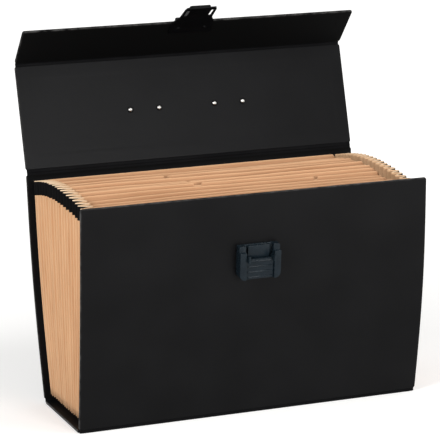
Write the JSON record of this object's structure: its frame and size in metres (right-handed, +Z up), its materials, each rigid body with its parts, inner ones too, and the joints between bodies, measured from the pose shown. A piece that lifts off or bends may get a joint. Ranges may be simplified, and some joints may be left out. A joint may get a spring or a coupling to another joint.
{
  "type": "portable file box",
  "caption": "Expanding carry file: hinged cover boards round a pleated paper bellows of pockets, with a lid, a flap with a slotted tongue, a sprung catch and a swinging handle.",
  "frame": {"origin": "middle of the base board on its underside", "axes": "+X across the width to the right, -Y to the front with the catch, +Z up"},
  "size_m": [0.38, 0.2369, 0.4177],
  "materials": {
    "cover_board": "chipboard wrapped in black embossed paper, satin",
    "crease_cloth": "black paper cloth, matt",
    "kraft_paper": "tan kraft, matt",
    "edge_tape": "black cloth tape, matt",
    "lining_tape": "cream paper tape, matt",
    "catch_plastic": "moulded slate plastic, satin",
    "black_plastic": "moulded black plastic, satin",
    "steel": "zinc plated",
    "nickel_rivet": "nickel plated, bright",
    "washer": "black lacquer"
  },
  "bodies": {
    "base": {"base_board": "cover_board", "base_front_crease": "crease_cloth", "base_back_crease": "crease_cloth", "side_pleats_left": "kraft_paper", "side_pleats_right": "kraft_paper", "bottom_pleats": "kraft_paper", "edge_tape_left": "edge_tape", "edge_tape_right": "edge_tape", "lining_tape_left": "lining_tape", "lining_tape_right": "lining_tape"},
    "front": {"front_board": "cover_board", "pocket_front_wall": "kraft_paper", "catch_housing": "catch_plastic", "catch_rivets": "steel", "catch_backplate": "steel", "catch_spring": "steel"},
    "thumb_slide": {"catch_slide": "catch_plastic"},
    "back": {"back_board": "cover_board", "pocket_back_wall": "kraft_paper", "lid_crease": "crease_cloth"},
    "lid": {"lid_board": "cover_board", "flap_crease": "crease_cloth", "handle_bracket_left": "black_plastic", "handle_bracket_right": "black_plastic", "handle_pins": "steel", "handle_rivets": "nickel_rivet", "rivet_washers": "washer"},
    "flap": {"flap_board": "cover_board", "tongue": "black_plastic", "tongue_rivets": "black_plastic"},
    "handle": {"handle_grip": "black_plastic"},
    "divider_01_sheet": {"divider_01": "kraft_paper"},
    "divider_02_sheet": {"divider_02": "kraft_paper"},
    "divider_03_sheet": {"divider_03": "kraft_paper"},
    "divider_04_sheet": {"divider_04": "kraft_paper"},
    "divider_05_sheet": {"divider_05": "kraft_paper"},
    "divider_06_sheet": {"divider_06": "kraft_paper"},
    "divider_07_sheet": {"divider_07": "kraft_paper"},
    "divider_08_sheet": {"divider_08": "kraft_paper"},
    "divider_09_sheet": {"divider_09": "kraft_paper"},
    "divider_10_sheet": {"divider_10": "kraft_paper"},
    "divider_11_sheet": {"divider_11": "kraft_paper"},
    "divider_12_sheet": {"divider_12": "kraft_paper"},
    "divider_13_sheet": {"divider_13": "kraft_paper"},
    "divider_14_sheet": {"divider_14": "kraft_paper"},
    "divider_15_sheet": {"divider_15": "kraft_paper"},
    "divider_16_sheet": {"divider_16": "kraft_paper"},
    "divider_17_sheet": {"divider_17": "kraft_paper"},
    "divider_18_sheet": {"divider_18": "kraft_paper"}
  },
  "joints": [
    {"name": "lid_hinge", "type": "hinge", "parent": "back", "child": "lid", "pos_m": [0, 0.101, 0.24559], "axis": [-1, 0, 0], "range_deg": [-94.7, 90]},
    {"name": "flap_hinge", "type": "hinge", "parent": "lid", "child": "flap", "pos_m": [0, 0.13133, 0.35879], "axis": [-1, 0, 0], "range_deg": [-14.3, 75]},
    {"name": "handle_swing", "type": "hinge", "parent": "lid", "child": "handle", "pos_m": [0, 0.12515, 0.29979], "axis": [1, 0, 0], "range_deg": [-15, 165]},
    {"name": "thumb_slide_travel", "type": "slide", "parent": "front", "child": "thumb_slide", "axis": [0, -0.1297, 0.9916], "range_m": [-0.005, 0], "stiffness_N_per_m": 400, "springref_m": 0.002, "deforming": ["catch_spring"]},
    {"name": "back_spread", "type": "hinge", "parent": "base", "child": "back", "pos_m": [0, 0.0619, 0.0015], "axis": [-1, 0, 0], "range_deg": [-10.3, 9.79]},
    {"name": "front_spread", "type": "hinge", "parent": "base", "child": "front", "pos_m": [0, -0.0619, 0.0015], "axis": [1, 0, 0], "range_deg": [-8.65, 8.22], "deforming": ["side_pleats_left", "side_pleats_right", "bottom_pleats", "edge_tape_left", "edge_tape_right", "lining_tape_left", "lining_tape_right"]},
    {"name": "divider_01_spread", "type": "hinge", "parent": "base", "child": "divider_01_sheet", "pos_m": [0, -0.0544, 0.0094], "axis": [-1, 0, 0], "range_deg": [-7.92, 8.33]},
    {"name": "divider_02_spread", "type": "hinge", "parent": "base", "child": "divider_02_sheet", "pos_m": [0, -0.04799, 0.0094], "axis": [-1, 0, 0], "range_deg": [-7.11, 7.48]},
    {"name": "divider_03_spread", "type": "hinge", "parent": "base", "child": "divider_03_sheet", "pos_m": [0, -0.04158, 0.0094], "axis": [-1, 0, 0], "range_deg": [-5.95, 6.26]},
    {"name": "divider_04_spread", "type": "hinge", "parent": "base", "child": "divider_04_sheet", "pos_m": [0, -0.03516, 0.0094], "axis": [-1, 0, 0], "range_deg": [-4.59, 4.83]},
    {"name": "divider_05_spread", "type": "hinge", "parent": "base", "child": "divider_05_sheet", "pos_m": [0, -0.02875, 0.0094], "axis": [-1, 0, 0], "range_deg": [-3.18, 3.34]},
    {"name": "divider_06_spread", "type": "hinge", "parent": "base", "child": "divider_06_sheet", "pos_m": [0, -0.02234, 0.0094], "axis": [-1, 0, 0], "range_deg": [-1.86, 1.96]},
    {"name": "divider_07_spread", "type": "hinge", "parent": "base", "child": "divider_07_sheet", "pos_m": [0, -0.01592, 0.0094], "axis": [-1, 0, 0], "range_deg": [-0.8, 0.84]},
    {"name": "divider_08_spread", "type": "hinge", "parent": "base", "child": "divider_08_sheet", "pos_m": [0, -0.00951, 0.0094], "axis": [-1, 0, 0], "range_deg": [-0.142, 0.15]},
    {"name": "divider_09_spread", "type": "hinge", "parent": "base", "child": "divider_09_sheet", "pos_m": [0, -0.0031, 0.0094], "axis": [-1, 0, 0], "range_deg": [-0.032, 0.03]},
    {"name": "divider_10_spread", "type": "hinge", "parent": "base", "child": "divider_10_sheet", "pos_m": [0, 0.00332, 0.0094], "axis": [-1, 0, 0], "range_deg": [-0.468, 0.445]},
    {"name": "divider_11_spread", "type": "hinge", "parent": "base", "child": "divider_11_sheet", "pos_m": [0, 0.00973, 0.0094], "axis": [-1, 0, 0], "range_deg": [-1.33, 1.27]},
    {"name": "divider_12_spread", "type": "hinge", "parent": "base", "child": "divider_12_sheet", "pos_m": [0, 0.01614, 0.0094], "axis": [-1, 0, 0], "range_deg": [-2.52, 2.4]},
    {"name": "divider_13_spread", "type": "hinge", "parent": "base", "child": "divider_13_sheet", "pos_m": [0, 0.02256, 0.0094], "axis": [-1, 0, 0], "range_deg": [-3.91, 3.72]},
    {"name": "divider_14_spread", "type": "hinge", "parent": "base", "child": "divider_14_sheet", "pos_m": [0, 0.02897, 0.0094], "axis": [-1, 0, 0], "range_deg": [-5.4, 5.13]},
    {"name": "divider_15_spread", "type": "hinge", "parent": "base", "child": "divider_15_sheet", "pos_m": [0, 0.03538, 0.0094], "axis": [-1, 0, 0], "range_deg": [-6.86, 6.52]},
    {"name": "divider_16_spread", "type": "hinge", "parent": "base", "child": "divider_16_sheet", "pos_m": [0, 0.0418, 0.0094], "axis": [-1, 0, 0], "range_deg": [-8.2, 7.79]},
    {"name": "divider_17_spread", "type": "hinge", "parent": "base", "child": "divider_17_sheet", "pos_m": [0, 0.04821, 0.0094], "axis": [-1, 0, 0], "range_deg": [-9.29, 8.83]},
    {"name": "divider_18_spread", "type": "hinge", "parent": "base", "child": "divider_18_sheet", "pos_m": [0, 0.05462, 0.0094], "axis": [-1, 0, 0], "range_deg": [-10.03, 9.53]}
  ],
  "couplings": [
    {"joint": "back_spread", "follows": "lid_hinge", "ratio": 0.10877},
    {"joint": "front_spread", "follows": "lid_hinge", "ratio": 0.091341},
    {"joint": "divider_01_spread", "follows": "lid_hinge", "ratio": -0.087978},
    {"joint": "divider_02_spread", "follows": "lid_hinge", "ratio": -0.079009},
    {"joint": "divider_03_spread", "follows": "lid_hinge", "ratio": -0.066115},
    {"joint": "divider_04_spread", "follows": "lid_hinge", "ratio": -0.050974},
    {"joint": "divider_05_spread", "follows": "lid_hinge", "ratio": -0.035269},
    {"joint": "divider_06_spread", "follows": "lid_hinge", "ratio": -0.020679},
    {"joint": "divider_07_spread", "follows": "lid_hinge", "ratio": -0.008884},
    {"joint": "divider_08_spread", "follows": "lid_hinge", "ratio": -0.001564},
    {"joint": "divider_09_spread", "follows": "lid_hinge", "ratio": 0.000321},
    {"joint": "divider_10_spread", "follows": "lid_hinge", "ratio": 0.004927},
    {"joint": "divider_11_spread", "follows": "lid_hinge", "ratio": 0.01408},
    {"joint": "divider_12_spread", "follows": "lid_hinge", "ratio": 0.026594},
    {"joint": "divider_13_spread", "follows": "lid_hinge", "ratio": 0.041284},
    {"joint": "divider_14_spread", "follows": "lid_hinge", "ratio": 0.056966},
    {"joint": "divider_15_spread", "follows": "lid_hinge", "ratio": 0.072453},
    {"joint": "divider_16_spread", "follows": "lid_hinge", "ratio": 0.086562},
    {"joint": "divider_17_spread", "follows": "lid_hinge", "ratio": 0.098107},
    {"joint": "divider_18_spread", "follows": "lid_hinge", "ratio": 0.1059}
  ]
}
